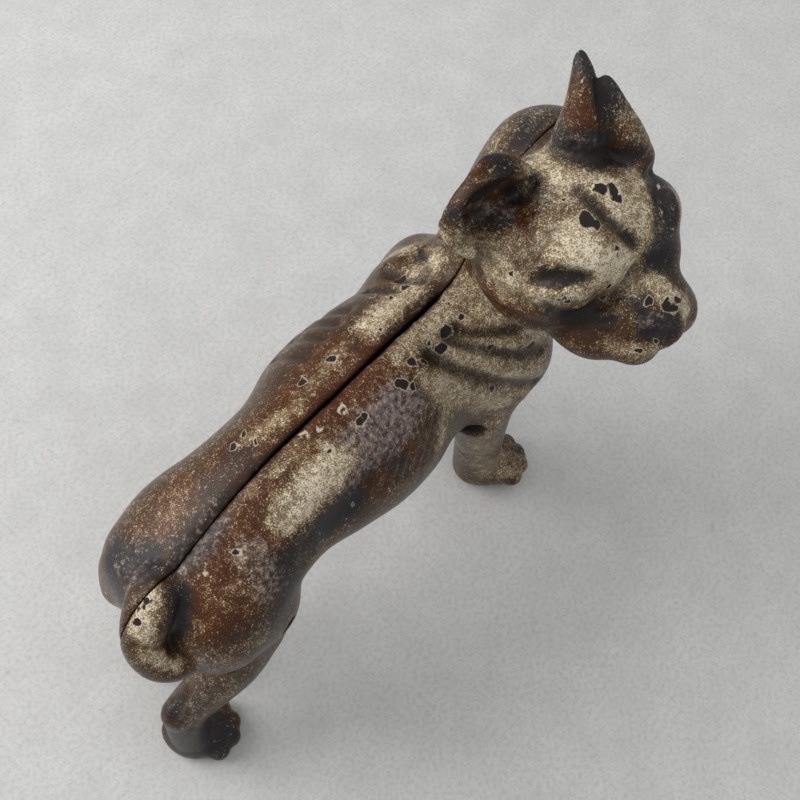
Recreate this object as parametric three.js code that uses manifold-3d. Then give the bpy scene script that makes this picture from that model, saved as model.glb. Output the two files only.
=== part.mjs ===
// Cast iron still bank: a standing bulldog cast in two hollow halves.
// Millimetres. +X toward the chest, +Y toward the dog's left, +Z up, soles on z = 0.
// The halves part on the plane y = 0; the head is turned to the dog's right.
import * as THREE from "three";
import { ConvexGeometry } from "three/addons/geometries/ConvexGeometry.js";
import { mergeVertices } from "three/addons/utils/BufferGeometryUtils.js";
import Module from "manifold-3d";

const wasm = await Module();
wasm.setup();

// ---- driving dimensions ----
const WALL = 4.2;             // thickness of the cast shell
const PART_GAP = 0.3;         // clearance between the two castings
const SLOT_WIDTH = 2.2;       // opened seam along the back that takes the coins
const SLOT_FRONT_X = 44;
const SLOT_REAR_X = -58;
const SOLE_Z = 0;
const HIND_STRIDE = 17;       // the left hind leg stands this far ahead of the right

const SCREW_RADIUS = 2;       // shank
const SCREW_HEAD_RADIUS = 3.5;
const SCREW_HEAD_HEIGHT = 2.6;
const SCREW_FIT = 0.3;        // radial clearance round shank and head
const SCREW_SLOT_WIDTH = 1.2;
const SCREW_SLOT_DEPTH = 1.1;
const SCREW_THREAD_DEPTH = 13; // reach into the left casting
const BOSS_RADIUS = 6.5;
const BOSS_BLIND = 1.5;       // extra hole beyond the end of the screw

// centre of each screw and the y of the bottom of its countersunk pocket
const FRONT_SCREW = { x: 54, z: 86, seatY: -27 };
const REAR_SCREW = { x: -66, z: 104, seatY: -24 };

const LOCATING_PIN_RADIUS = 2.6;
const LOCATING_PIN_REACH = 5;
const PIN_X = 12;
const PIN_Z = 88;

// ---- solid helpers ----
function toManifold(geometry) {
  const bare = geometry.clone();
  bare.deleteAttribute("normal");
  bare.deleteAttribute("uv");
  const welded = mergeVertices(bare, 1e-4);
  const mesh = new wasm.Mesh({
    numProp: 3,
    vertProperties: new Float32Array(welded.attributes.position.array),
    triVerts: new Uint32Array(welded.index.array),
  });
  mesh.merge();
  return new wasm.Manifold(mesh);
}

function toGeometry(solid) {
  const mesh = solid.getMesh();
  const geometry = new THREE.BufferGeometry();
  geometry.setAttribute("position", new THREE.BufferAttribute(mesh.vertProperties, 3));
  geometry.setIndex(new THREE.BufferAttribute(mesh.triVerts, 1));
  geometry.computeVertexNormals();
  return geometry;
}

function union(solids) {
  return solids.reduce((sum, solid) => sum.add(solid));
}

// Drops slivers of no volume left where two surfaces nearly coincide.
function withoutSlivers(solid) {
  const bodies = solid.decompose();
  return bodies.reduce((best, body) => (body.volume() > best.volume() ? body : best));
}

function ballGeometry([x, y, z], [rx, ry, rz], turnDegrees, across, down) {
  const geometry = new THREE.SphereGeometry(1, across, down);
  geometry.rotateX(Math.PI / 2);
  geometry.scale(rx, ry, rz);
  geometry.rotateZ(THREE.MathUtils.degToRad(turnDegrees));
  geometry.translate(x, y, z);
  return geometry;
}

function ball(centre, radii, turnDegrees = 0, across = 14, down = 9) {
  return toManifold(ballGeometry(centre, radii, turnDegrees, across, down));
}

// The tight skin round several balls, each given as [centre, radii].
function wrap(balls, turnDegrees = 0) {
  const points = balls.flatMap(([centre, radii]) => {
    const around = ballGeometry(centre, radii, turnDegrees, 12, 8).attributes.position;
    return Array.from({ length: around.count }, (_, i) => {
      return new THREE.Vector3().fromBufferAttribute(around, i);
    });
  });
  return toManifold(new ConvexGeometry(points));
}

function block(x0, x1, y0, y1, z0, z1) {
  const geometry = new THREE.BoxGeometry(x1 - x0, y1 - y0, z1 - z0);
  geometry.translate((x0 + x1) / 2, (y0 + y1) / 2, (z0 + z1) / 2);
  return toManifold(geometry);
}

function rodAlongY(radius, x, z, y0, y1, sides = 20) {
  const geometry = new THREE.CylinderGeometry(radius, radius, y1 - y0, sides);
  geometry.translate(0, (y0 + y1) / 2, 0);
  geometry.translate(x, 0, z);
  return toManifold(geometry);
}

// A body swept through stations [x, y, z, a, b]. Each ring is an ellipse square to the
// path, with radius a along the `wide` direction and radius b across it.
function limb(stations, wide, sides = 14) {
  const points = stations.map(([x, y, z]) => new THREE.Vector3(x, y, z));
  const wideAxis = new THREE.Vector3(...wide);
  const positions = [];
  const index = [];
  points.forEach((centre, i) => {
    const before = points[Math.max(i - 1, 0)];
    const after = points[Math.min(i + 1, points.length - 1)];
    const along = after.clone().sub(before).normalize();
    const u = wideAxis.clone().addScaledVector(along, -wideAxis.dot(along)).normalize();
    const v = along.clone().cross(u);
    const [a, b] = stations[i].slice(3);
    for (let k = 0; k < sides; k += 1) {
      const angle = (2 * Math.PI * k) / sides;
      const rim = centre.clone();
      rim.addScaledVector(u, a * Math.cos(angle));
      rim.addScaledVector(v, b * Math.sin(angle));
      positions.push(rim.x, rim.y, rim.z);
    }
  });
  for (let i = 0; i + 1 < points.length; i += 1) {
    for (let k = 0; k < sides; k += 1) {
      const next = (k + 1) % sides;
      const low = i * sides;
      const high = low + sides;
      index.push(low + k, low + next, high + next);
      index.push(low + k, high + next, high + k);
    }
  }
  const last = (points.length - 1) * sides;
  for (let k = 1; k + 1 < sides; k += 1) {
    index.push(0, k + 1, k);
    index.push(last, last + k, last + k + 1);
  }
  const geometry = new THREE.BufferGeometry();
  geometry.setAttribute("position", new THREE.Float32BufferAttribute(positions, 3));
  geometry.setIndex(index);
  return toManifold(geometry);
}

// ---- the dog's masses; shrink is the inset used for the hollow inside ----
function torso(shrink) {
  const rings = [
    [-104, 0, 108, 9, 10],
    [-101, 0, 109, 22, 21],
    [-93, 0, 110.5, 31, 27],
    [-80, 0, 114, 33.5, 31.5],
    [-62, 0, 122, 32, 31.5],
    [-42, -1.2, 127.5, 30, 30],
    [-22, -2.9, 125.5, 32, 32],
    [-2, -1.2, 120.5, 36.5, 35.5],
    [18, 0, 116.5, 37.5, 39],
    [38, 1, 110, 35, 44],
    [58, 0, 107, 34, 43.5],
    [76, 0, 107, 36, 40],
    [90, -1, 107, 32, 34],
    [98, -1, 107, 20, 22],
    [101, -1, 107, 9, 10],
  ];
  const inset = rings.filter(([, , , a]) => a > shrink + 3);
  return limb(
    inset.map(([x, y, z, a, b]) => {
      const pull = x > 0 ? -1 : 1;
      const ends = shrink > 0 && (x < -90 || x > 85) ? pull * shrink * 0.7 : 0;
      return [x + ends, y, z, a - shrink, b - shrink];
    }),
    [0, 1, 0],
    24,
  );
}

function neck(shrink) {
  return limb(
    [
      [58, -3, 116, 30 - shrink, 28 - shrink],
      [78, -6, 131, 28.5 - shrink, 26 - shrink],
      [91, -9, 151, 27.5 - shrink, 25 - shrink],
      [95, -13, 172, 26 - shrink, 24 - shrink],
      [93, -17, 188, 22 - shrink, 20 - shrink],
    ],
    [0, 1, 0],
    20,
  );
}

function skull(shrink) {
  return wrap([
    [[86, -26, 196], [34 - shrink, 28 - shrink, 28 - shrink]],
    [[103, -4, 183], [26 - shrink, 26 - shrink, 25 - shrink]],
  ]);
}

function jaw(shrink) {
  return wrap([
    [[62, -34, 189], [16 - shrink, 19 - shrink, 17 - shrink]],
    [[107, -38, 190], [15 - shrink, 19 - shrink, 17 - shrink]],
    [[72, -57, 177], [13 - shrink, 14 - shrink, 10 - shrink]],
    [[89, -62, 181], [15 - shrink, 15 - shrink, 10 - shrink]],
  ]);
}

function face() {
  const brows = wrap([
    [[65, -37, 204], [15, 13, 13]],
    [[101, -46, 205], [17, 14, 13]],
    [[83, -38, 203], [30, 17, 17]],
  ]);
  const muzzle = wrap([
    [[73, -68, 182], [11, 12, 11]],
    [[92, -71, 183], [11, 12, 11]],
    [[83, -64, 188], [17, 15, 12]],
  ]);
  const nose = ball([79.5, -78.5, 189], [8.5, 5.5, 5.5], 8, 12, 8);
  return union([brows, jaw(0), muzzle, nose]);
}

function ears() {
  const rightLeaf = wrap([
    [[58, -3, 243], [6, 3, 4]],
    [[47, 0, 242], [5, 3, 4]],
    [[34, -3, 228], [4, 5, 6]],
    [[40, -9, 216], [7, 7, 7]],
    [[66, -9, 216], [10, 8, 8]],
  ]);
  const rightHollow = ball([44, -13, 233], [12, 8, 15], 14);
  const rightFold = wrap([
    [[60, -22, 217], [8, 9, 10]],
    [[71, -24, 214], [9, 9, 10]],
  ]);
  const leftLeaf = wrap([
    [[110, -3, 246], [2.5, 2.5, 4]],
    [[110, -14, 241], [3, 2.5, 4]],
    [[96, -14, 220], [7, 8, 8]],
    [[110, -26, 216], [10, 10, 10]],
    [[103, -16, 208], [13, 12, 10]],
  ]);
  const leftHollow = ball([120, -18, 238], [11, 8, 16], -20);
  return union([
    rightLeaf.subtract(rightHollow),
    rightFold,
    leftLeaf.subtract(leftHollow),
  ]);
}

function tail() {
  return limb(
    [
      [-80, 1, 125, 6, 6],
      [-88, 2, 131, 7.5, 7.5],
      [-96, 1, 134, 8.5, 8.5],
      [-103, -2, 132, 8.5, 8.2],
      [-107.5, -4.5, 125, 8, 7.8],
      [-109, -7.5, 117, 7.5, 7.2],
      [-107, -11.5, 110, 6.8, 6.6],
      [-103, -16, 107, 5.5, 5.4],
      [-99, -18, 106, 3.6, 3.6],
    ],
    [0, 1, 0],
    14,
  );
}

function paw([x, y], length, width, turnDegrees) {
  const pad = ball([x, y, 5], [length, width, 11], turnDegrees, 14, 9);
  return pad.intersect(block(x - 60, x + 60, y - 60, y + 60, SOLE_Z, 40));
}

function frontLeg(side) {
  const column = limb(
    [
      [65, side * 28, 98, 11.5, 13],
      [67, side * 28.5, 80, 12, 13.5],
      [71, side * 29.5, 60, 11, 11.5],
      [76, side * 29.5, 42, 10, 10.5],
      [79, side * 29.5, 24, 9.8, 10],
      [82, side * 30.5, 7, 10, 10.3],
    ],
    [0, 1, 0],
  );
  const shoulder = wrap([
    [[67, side * 21, 119], [18, 15, 22]],
    [[82, side * 26, 108], [18, 16, 22]],
    [[70, side * 28, 88], [11, 13, 13]],
  ]);
  return union([column, shoulder, paw([88.5, side * 35.5], 17, 12.5, side * 42)]);
}

function hindLeg(side, stride) {
  const thigh = wrap([
    [[-76 + stride, side * 18, 112], [20, 15, 20]],
    [[-66 + stride, side * 20, 98], [14, 14, 12]],
    [[-72 + stride, side * 22, 84], [12, 12, 10]],
  ]);
  const shin = limb(
    [
      [-72 + stride, side * 22, 88, 11, 11],
      [-80 + stride, side * 23, 72, 10.5, 11],
      [-92 + stride, side * 20, 54, 9, 10],
      [-101 + stride, side * 17, 38, 8.5, 9.5],
      [-102 + stride, side * 18, 22, 8.5, 8.5],
      [-100 + stride, side * 20, 6, 9, 9],
    ],
    [0, 1, 0],
  );
  return union([thigh, shin, paw([-98 + stride, side * 20], 18, 13, side * 50)]);
}

// ---- the two castings ----
// The masses both halves share, cut along the parting plane.
function trunk() {
  return union([torso(0), neck(0), skull(0), tail()]);
}

// The left casting carries the back of the skull; the whole face and both ears belong
// to the right casting.
function leftOutside() {
  return union([trunk(), frontLeg(1), hindLeg(1, HIND_STRIDE)]);
}

function rightOutside() {
  return union([trunk(), face(), ears(), frontLeg(-1), hindLeg(-1, 0)]);
}

function dogInside() {
  return union([torso(WALL), neck(WALL), skull(WALL), jaw(WALL)]);
}

function boss({ x, z }) {
  return rodAlongY(BOSS_RADIUS, x, z, -60, 60);
}

function screwBore({ x, z }) {
  return rodAlongY(SCREW_RADIUS + SCREW_FIT, x, z, -70, SCREW_THREAD_DEPTH + BOSS_BLIND);
}

function screwPocket({ x, z, seatY }) {
  return rodAlongY(SCREW_HEAD_RADIUS + SCREW_FIT, x, z, -70, seatY);
}

const halfGap = PART_GAP / 2;
const leftSpace = block(-200, 200, halfGap, 200, SOLE_Z, 300);
const rightSpace = block(-200, 200, -200, -halfGap, SOLE_Z, 300);
const slot = block(
  SLOT_REAR_X, SLOT_FRONT_X, -SLOT_WIDTH / 2, SLOT_WIDTH / 2, 135, 175,
);
const bores = union([
  screwBore(FRONT_SCREW),
  screwBore(REAR_SCREW),
  screwPocket(FRONT_SCREW),
  screwPocket(REAR_SCREW),
]);
const pinHole = rodAlongY(
  LOCATING_PIN_RADIUS + SCREW_FIT, PIN_X, PIN_Z, -1, LOCATING_PIN_REACH + 1,
);
const pin = rodAlongY(LOCATING_PIN_RADIUS, PIN_X, PIN_Z, -3, LOCATING_PIN_REACH);

// A hollow half with its screw bosses and locating boss, bored and opened for the coins.
function casting(outside, space) {
  const bosses = union([
    boss(FRONT_SCREW),
    boss(REAR_SCREW),
    rodAlongY(LOCATING_PIN_RADIUS + 3, PIN_X, PIN_Z, -60, 60),
  ]).intersect(outside);
  const shell = outside.subtract(dogInside()).add(bosses);
  return shell.subtract(bores).subtract(slot).intersect(space);
}

const leftHalf = withoutSlivers(casting(leftOutside(), leftSpace).subtract(pinHole));
const rightHalf = withoutSlivers(casting(rightOutside(), rightSpace).add(pin));

function screw({ x, z, seatY }) {
  const shankEnd = SCREW_THREAD_DEPTH;
  const headTop = seatY - PART_GAP - SCREW_HEAD_HEIGHT;
  const head = rodAlongY(SCREW_HEAD_RADIUS, x, z, headTop, seatY - PART_GAP, 24);
  const shank = rodAlongY(SCREW_RADIUS, x, z, seatY - 1, shankEnd, 20);
  const driverSlot = block(
    x - SCREW_HEAD_RADIUS - 1, x + SCREW_HEAD_RADIUS + 1,
    headTop - 1, headTop + SCREW_SLOT_DEPTH,
    z - SCREW_SLOT_WIDTH / 2, z + SCREW_SLOT_WIDTH / 2,
  );
  return head.add(shank).subtract(driverSlot);
}

const OLD_PAINT = new THREE.MeshStandardMaterial({
  color: 0x5a4330,
  roughness: 0.4,
  metalness: 0.2,
});
const STEEL = new THREE.MeshStandardMaterial({
  color: 0x4b4642,
  roughness: 0.5,
  metalness: 0.8,
});

function named(name, solid, material) {
  const mesh = new THREE.Mesh(toGeometry(solid), material);
  mesh.name = name;
  return mesh;
}

const bank = new THREE.Group();
bank.name = "cast_iron_still_bank";
bank.add(named("left_half_casting", leftHalf, OLD_PAINT));
bank.add(named("right_half_casting", rightHalf, OLD_PAINT));
bank.add(named("front_screw", screw(FRONT_SCREW), STEEL));
bank.add(named("rear_screw", screw(REAR_SCREW), STEEL));

const extent = new THREE.Box3().setFromObject(bank);
const middle = extent.getCenter(new THREE.Vector3());
const toOrigin = new THREE.Vector3(-middle.x, -middle.y, -extent.min.z);
for (const mesh of bank.children) {
  mesh.geometry.translate(toOrigin.x, toOrigin.y, toOrigin.z);
}

export default bank;
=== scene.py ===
"""Cast iron still bank: a standing dog in two hollow castings, held by two slotted screws.

The dog is modelled as one block of clay, a signed distance field in millimetres with the
parting plane of the castings at y = 0 and the ground at z = 0. It is hollowed, bored and cut
into its halves there, and each half becomes one mesh.
"""
import math

import bpy
import numpy as np
from mathutils import Matrix, Vector


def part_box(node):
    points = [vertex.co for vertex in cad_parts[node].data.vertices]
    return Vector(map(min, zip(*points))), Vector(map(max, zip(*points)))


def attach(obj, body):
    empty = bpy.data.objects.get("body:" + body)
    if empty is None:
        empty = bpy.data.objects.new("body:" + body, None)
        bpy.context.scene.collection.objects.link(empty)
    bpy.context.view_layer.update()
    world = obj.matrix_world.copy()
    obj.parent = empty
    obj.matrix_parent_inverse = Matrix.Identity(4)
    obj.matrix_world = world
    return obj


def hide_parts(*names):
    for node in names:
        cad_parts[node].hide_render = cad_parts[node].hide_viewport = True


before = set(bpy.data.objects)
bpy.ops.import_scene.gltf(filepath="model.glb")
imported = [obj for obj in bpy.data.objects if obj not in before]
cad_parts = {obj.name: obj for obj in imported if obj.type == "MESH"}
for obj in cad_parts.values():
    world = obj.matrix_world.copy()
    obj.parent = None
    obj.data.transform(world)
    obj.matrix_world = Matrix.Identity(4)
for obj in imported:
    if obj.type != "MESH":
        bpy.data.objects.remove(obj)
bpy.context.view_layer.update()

# ---------------------------------------------------------------- sizes, mm
WALL = 4.2
LEAST_WALL = 3.2
CROWN_WALL = 1.6  # added to the wall in the head
CROWN_START, CROWN_RAMP = 165, 20
ROOM_END = 88  # the trunk is solid beyond this, forwards and backwards
FAR = 60
PART_GAP = 0.3
SLOT_X = (-88, -60, -25, 54, 59)
SLOT_WIDTHS = (0.3, 0.5, 1.3, 1.6, 0.3)
SLOT_BOTTOM = 132
BOSS_RADIUS = 6.5
SCREW_RADIUS = 2
SCREW_HEAD_RADIUS = 3.5
SCREW_HEAD_HEIGHT = 2.6
SCREW_FIT = 0.3
SCREWS = {"front_screw": (54, 86, -27), "rear_screw": (-66, 104, -24)}  # x, z, seat y
THREAD_END = 13
PIN = (12, 88, 2.6, 5)  # x, z, radius, reach
PITCH = 1.22
SCREW_PITCH = 0.2

# the clay's own origin in the frame of the castings
rear_low, rear_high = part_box("rear_screw")
ORIGIN = np.array([
    (rear_low.x + rear_high.x) * 500 + 66,
    rear_high.y * 1000 - THREAD_END,
    0.0,
])


# ---------------------------------------------------------------- clay
def smooth_min(a, b, k):
    h = np.clip(0.5 + 0.5 * (a - b) / max(k, 1e-6), 0, 1)
    return a + (b - a) * h - k * h * (1 - h)


def turned(spin, tilt, roll):
    a, b, c = np.radians([spin, tilt, roll])
    rz = np.array([[np.cos(a), -np.sin(a), 0], [np.sin(a), np.cos(a), 0], [0, 0, 1]])
    ry = np.array([[np.cos(b), 0, -np.sin(b)], [0, 1, 0], [np.sin(b), 0, np.cos(b)]])
    rx = np.array([[1, 0, 0], [0, np.cos(c), -np.sin(c)], [0, np.sin(c), np.cos(c)]])
    return rz @ ry @ rx


def to_segment(x, y, z, a, b):
    """Share along the segment a-b and distance from it."""
    ab = b - a
    t = ((x - a[0]) * ab[0] + (y - a[1]) * ab[1] + (z - a[2]) * ab[2]) / (ab @ ab + 1e-9)
    t = np.clip(t, 0, 1)
    gap = (x - a[0] - t * ab[0]) ** 2 + (y - a[1] - t * ab[1]) ** 2
    return t, np.sqrt(gap + (z - a[2] - t * ab[2]) ** 2)


def eased(points, steps=4):
    """More points between the given ones, on a smooth curve through them."""
    p = np.vstack([2 * points[0] - points[1], points, 2 * points[-1] - points[-2]])
    t = np.arange(steps)[:, None] / steps
    curve = [
        b + 0.5 * ((c - a) * t + (2 * a - 5 * b + 4 * c - d) * t**2 + (3 * b - a - 3 * c + d) * t**3)
        for a, b, c, d in zip(p, p[1:], p[2:], p[3:])
    ]
    return np.vstack(curve + [points[-1:]])


def along(stations, column, x):
    """A smooth curve through one column of the stations."""
    xs, ys = stations[:, 0], stations[:, column]
    slope = np.gradient(ys, xs)
    i = np.clip(np.searchsorted(xs, x) - 1, 0, len(xs) - 2)
    h = xs[i + 1] - xs[i]
    t = np.clip((x - xs[i]) / h, 0, 1)
    start = (2 * t**3 - 3 * t**2 + 1) * ys[i] + (t**3 - 2 * t**2 + t) * h * slope[i]
    return start + (3 * t**2 - 2 * t**3) * ys[i + 1] + (t**3 - t**2) * h * slope[i + 1]


class Clay:
    """A signed distance field, negative inside, on a regular grid."""

    def __init__(self, low, high, pitch):
        self.low, self.pitch = np.array(low, float), pitch
        count = np.ceil((np.array(high) - self.low) / pitch).astype(int) + 1
        self.axes = [self.low[i] + pitch * np.arange(count[i]) for i in range(3)]
        self.field = np.full(count, FAR, np.float32)

    def window(self, low, high):
        cut = []
        for i in range(3):
            first = np.floor((low[i] - self.low[i]) / self.pitch)
            last = np.ceil((high[i] - self.low[i]) / self.pitch) + 1
            cut.append(slice(*(int(np.clip(v, 0, len(self.axes[i]))) for v in (first, last))))
        x, y, z = (self.axes[i][cut[i]].astype(np.float32) for i in range(3))
        return tuple(cut), x[:, None, None], y[None, :, None], z[None, None, :]

    def everywhere(self):
        x, y, z = (a.astype(np.float32) for a in self.axes)
        return x[:, None, None], y[None, :, None], z[None, None, :]

    def blend(self, part, distance, k, cut=False):
        if cut:
            self.field[part] = -smooth_min(-self.field[part], distance, k)
        else:
            self.field[part] = smooth_min(self.field[part], distance, k)

    def ball(self, centre, radii, k=6, spin=0, tilt=0, roll=0, cut=False, axes=None):
        radii = np.array(radii, float)
        centre = np.array(centre, float)
        reach = radii.max() + k + 3
        part, x, y, z = self.window(centre - reach, centre + reach)
        turn = turned(spin, tilt, roll)
        if axes is not None:
            turn = axes @ turn
        p = (x - centre[0], y - centre[1], z - centre[2])
        q = [sum(turn[j, i] * p[j] for j in range(3)) for i in range(3)]
        near = np.sqrt(sum((q[i] / radii[i]) ** 2 for i in range(3)))
        steep = np.sqrt(sum((q[i] / radii[i] ** 2) ** 2 for i in range(3)))
        distance = near * (near - 1) / np.maximum(steep, 1e-6)
        self.blend(part, distance.astype(np.float32), k, cut)

    def chain(self, points, k=6, cut=False):
        """A round limb through (x, y, z, radius) points."""
        points = eased(np.array(points, float))
        reach = points[:, 3].max() + k + 3
        part, x, y, z = self.window(points[:, :3].min(0) - reach, points[:, :3].max(0) + reach)
        distance = None
        for p, q in zip(points[:-1], points[1:]):
            t, gap = to_segment(x, y, z, p[:3], q[:3])
            gap = gap - (p[3] + (q[3] - p[3]) * t)
            distance = gap if distance is None else np.minimum(distance, gap)
        self.blend(part, distance.astype(np.float32), k, cut)

    def stroke(self, points, width, amount):
        """Raises (amount > 0) or sinks (amount < 0) the skin along a path."""
        points = np.array(points, float)
        if len(points) == 1:
            points = np.vstack([points, points + [0.01, 0, 0]])
        reach = 3 * width
        part, x, y, z = self.window(points.min(0) - reach, points.max(0) + reach)
        gap = None
        for p, q in zip(points[:-1], points[1:]):
            _, g = to_segment(x, y, z, p, q)
            gap = g if gap is None else np.minimum(gap, g)
        self.field[part] -= (amount * np.exp(-((gap / width) ** 2))).astype(np.float32)

    def barrel(self, stations, k=6):
        """An oval body along x through (x, height, half width, half depth, aside)."""
        s = np.array(stations, float)
        part, x, y, z = self.window([s[0, 0] - 8, -55, 50], [s[-1, 0] + 8, 55, 175])
        inside = np.clip(x, s[0, 0], s[-1, 0])
        middle, wide, deep, aside = (along(s, i, inside) for i in (1, 2, 3, 4))
        q = np.sqrt(((y - aside) / wide) ** 2 + ((z - middle) / deep) ** 2)
        distance = (q - 1) * np.minimum(wide, deep)
        over = np.maximum(s[0, 0] - x, 0) + np.maximum(x - s[-1, 0], 0)
        beyond = np.sqrt(np.maximum(distance, 0) ** 2 + over**2)
        self.blend(part, np.where(over > 0, beyond, distance).astype(np.float32), k)


def skin(field, low, pitch):
    """Vertices and quads where the field changes sign."""
    inside = field < 0
    nx, ny, nz = field.shape
    corners = [(a, b, c) for a in (0, 1) for b in (0, 1) for c in (0, 1)]
    count = np.zeros((nx - 1, ny - 1, nz - 1), np.int8)
    for a, b, c in corners:
        count += inside[a:nx - 1 + a, b:ny - 1 + b, c:nz - 1 + c]
    i, j, k = np.nonzero((count > 0) & (count < 8))
    number = -np.ones(count.shape, np.int64)
    number[i, j, k] = np.arange(len(i))
    total, hits = np.zeros((len(i), 3)), np.zeros(len(i))
    for corner in corners:
        for axis in range(3):
            if corner[axis]:
                continue
            other = list(corner)
            other[axis] = 1
            near = field[i + corner[0], j + corner[1], k + corner[2]]
            far = field[i + other[0], j + other[1], k + other[2]]
            crossed = (near < 0) != (far < 0)
            place = np.tile(np.array(corner, float), (len(i), 1))
            place[:, axis] += np.where(crossed, near / np.where(crossed, near - far, 1), 0)
            total += np.where(crossed[:, None], place, 0)
            hits += crossed
    vertices = (np.stack([i, j, k], 1) + total / hits[:, None]) * pitch + low
    quads = []
    for axis in range(3):
        u, v = (axis + 1) % 3, (axis + 2) % 3
        near, far = [slice(1, -1)] * 3, [slice(1, -1)] * 3
        near[axis], far[axis] = slice(0, -1), slice(1, None)
        near, far = inside[tuple(near)], inside[tuple(far)]
        for backwards, crossed in ((False, near & ~far), (True, ~near & far)):
            cell = np.stack(np.nonzero(crossed), 1)
            cell[:, u] += 1
            cell[:, v] += 1
            ring = []
            for du, dv in ((1, 1), (0, 1), (0, 0), (1, 0)):
                c = cell.copy()
                c[:, u] -= du
                c[:, v] -= dv
                ring.append(number[c[:, 0], c[:, 1], c[:, 2]])
            if backwards:
                ring.reverse()
            quads.append(np.stack(ring, 1))
    return vertices, np.concatenate(quads)


# ---------------------------------------------------------------- the dog
# the turned head's own axes: left, forwards and up through the crown
HEAD = np.array([85.0, -18.0, 196.0])
HEAD_AXES = np.array([
    [0.987, -0.147, -0.061],
    [-0.156, -0.967, -0.201],
    [0.030, -0.208, 0.978],
])


# x, height, half width, half depth and shift aside of the trunk
TRUNK = [
    [-104, 112, 10, 8, 0], [-101, 112.5, 22, 17.5, 0], [-93, 112.5, 31.5, 25, 0],
    [-80, 114, 34, 31.5, 0], [-62, 122, 32, 31.5, 0], [-42, 127.5, 29.8, 30, -1.2],
    [-22, 125.5, 32.2, 32, -2.9], [-2, 120.5, 36.8, 35.5, -1.2], [18, 116.5, 37.4, 39, 0],
    [38, 110, 34.6, 44, 1.5], [58, 107, 33.5, 43.5, 0], [76, 107, 35, 40, -0.5],
    [90, 109, 31, 34, -1], [97, 109, 20, 22, -1], [100, 109, 9, 10, -1],
]


def on_head(points):
    """(left, forward, up) from the middle of the head, and any radius, as clay points."""
    points = np.array(points, float)
    placed = HEAD + points[:, :3] @ HEAD_AXES.T
    return np.hstack([placed, points[:, 3:]])


def head_ball(clay, centre, radii, k=6, **turn):
    clay.ball(on_head([centre])[0], radii, k, axes=HEAD_AXES, **turn)


def trunk(clay):
    clay.barrel(TRUNK)
    clay.chain([
        [60, -3, 118, 31], [80, -6, 130, 28], [93, -9, 153, 26.5], [93, -13, 178, 25],
    ], 9)


def skull(clay):
    head_ball(clay, (2, 8, 2), (34, 28, 28), 8)
    clay.ball([111, -4, 182], [24.5, 25.5, 24.5], 12)
    clay.ball([103, -4, 162], [24, 24.5, 27], 12)
    head_ball(clay, (1, 20, 10), (30, 17, 17), 8)


def shoulders(clay):
    clay.ball([66, 20, 119], [18, 14, 22], 8)
    clay.ball([68, -22, 119], [17, 15, 22], 8)
    clay.ball([82, 25, 109], [17, 14, 22], 8)
    clay.ball([82, -26, 107], [18.5, 16.5, 22], 12)


def legs(clay):
    for side in (1, -1):
        clay.chain([
            [69, side * 27, 98, 13.5], [67, side * 28.5, 82, 13], [70, side * 29.5, 62, 11.8],
            [75, side * 29.5, 44, 11.0], [79, side * 29.5, 24, 10.8], [81, side * 30.5, 9, 11],
        ], 7)
        clay.ball([60, side * 30, 82], [6, 6.5, 8], 5)
        paw(clay, 88.5, side * 35.5, side * 42, 17.5, 12.8)
    for side, ahead in ((1, 17), (-1, 0)):
        clay.ball([-78 + ahead * 0.6, side * 18, 112], [23, 16.5, 24], 8)
        clay.ball([-66 + ahead * 0.6, side * 21.5, 102], [15, 14, 17], 8)
        clay.chain([
            [-72 + ahead, side * 23, 88, 12.5], [-81 + ahead, side * 23, 72, 11.5],
            [-92 + ahead, side * 20, 54, 9.6], [-101 + ahead, side * 17, 38, 8.8],
            [-102 + ahead, side * 18, 22, 8.8], [-100 + ahead, side * 20, 8, 9.8],
        ], 6)
        clay.ball([-106 + ahead, side * 15, 41], [5.5, 5.5, 7.5], 3.5)
        clay.stroke([
            [-93 + ahead, side * 28, 60], [-99 + ahead, side * 24.5, 44],
            [-104 + ahead, side * 22, 36],
        ], 2.4, -1.2)
        paw(clay, -97 + ahead, side * 20, side * 48, 18, 13)
    clay.ball([-86, 22, 98], [16, 11, 16], 8)


def paw(clay, x, y, turn, length, width):
    a = math.radians(turn)
    forward = np.array([math.cos(a), math.sin(a)])
    sideways = np.array([-forward[1], forward[0]])
    clay.ball([x, y, 5], [length * 0.88, width * 0.9, 9.5], 4, spin=turn)
    for offset, reach in ((-0.66, 0.46), (-0.23, 0.7), (0.23, 0.7), (0.66, 0.46)):
        tip = np.array([x, y]) + forward * length * reach + sideways * width * offset
        root = np.array([x, y]) + forward * length * 0.05 + sideways * width * offset * 0.8
        clay.chain([[*root, 9.5, 4.4], [*tip, 5.4, 4.9]], 1.3)


def tail(clay):
    clay.chain([
        [-85, 3, 128, 8], [-91, 2, 132, 9], [-97, 0.5, 134, 9.8], [-103, -2, 132, 9.4],
        [-108, -4, 126, 8.4], [-110.5, -7, 119.5, 7.8], [-109.5, -11.5, 112, 7.2],
        [-106, -15.5, 108.5, 6.4], [-102, -18.5, 107, 4.8],
    ], 2.5)


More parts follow.
